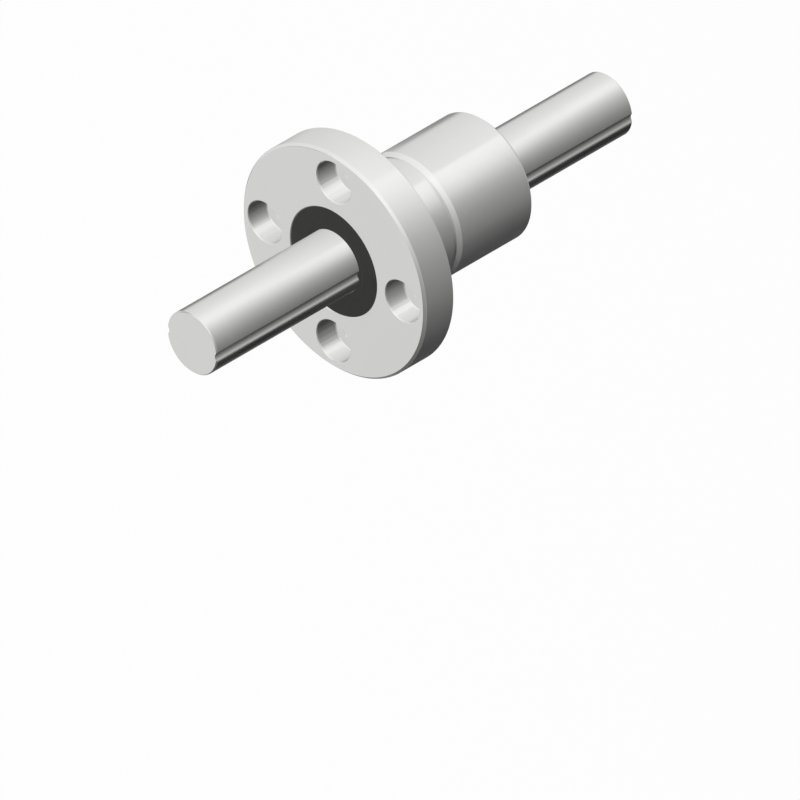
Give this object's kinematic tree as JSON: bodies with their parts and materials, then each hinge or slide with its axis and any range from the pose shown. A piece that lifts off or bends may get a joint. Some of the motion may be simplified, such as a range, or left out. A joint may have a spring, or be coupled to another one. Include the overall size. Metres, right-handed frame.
{
  "type": "ball spline",
  "caption": "Round shaft with ball grooves through a flanged ball spline nut, which slides along it with little friction and turns with it.",
  "frame": {"origin": "centre of the flange's seating face, which is its rear face, on the shaft's axis", "axes": "+Y along the shaft, from the flange towards the nut's ground body; +Z towards one bolt hole; +X towards one ball groove"},
  "size_m": [0.044, 0.1, 0.044],
  "materials": {
    "shaft_steel": "induction-hardened bearing steel, ground bright",
    "nut_steel": "case-hardened steel, satin, with a ground body",
    "seal_rubber": "moulded nitrile rubber, matt",
    "washer_steel": "pressed steel strip",
    "spring_steel": "stamped spring steel, phosphated dark",
    "cap_resin": "moulded acetal resin, natural",
    "retainer_resin": "moulded polyamide, natural",
    "ball_steel": "lapped bearing steel"
  },
  "bodies": {
    "nut": {"flanged_nut": "nut_steel", "front_seal": "seal_rubber", "front_seal_core": "washer_steel", "front_snap_ring": "spring_steel", "front_side_ring": "washer_steel", "front_turn_cap": "cap_resin", "rear_seal": "seal_rubber", "rear_seal_core": "washer_steel", "rear_snap_ring": "spring_steel", "rear_side_ring": "washer_steel", "rear_turn_cap": "cap_resin", "upper_ball_retainer": "retainer_resin", "lower_ball_retainer": "retainer_resin", "right_loaded_balls": "ball_steel", "right_rear_turn_balls": "ball_steel", "right_return_balls": "ball_steel", "right_front_turn_balls": "ball_steel", "left_loaded_balls": "ball_steel", "left_rear_turn_balls": "ball_steel", "left_return_balls": "ball_steel", "left_front_turn_balls": "ball_steel"},
    "shaft": {"spline_shaft": "shaft_steel"}
  },
  "joints": [
    {"name": "shaft_slide", "type": "slide", "parent": "nut", "child": "shaft", "axis": [0, 1, 0], "range_m": [-0.029, 0.033]}
  ]
}
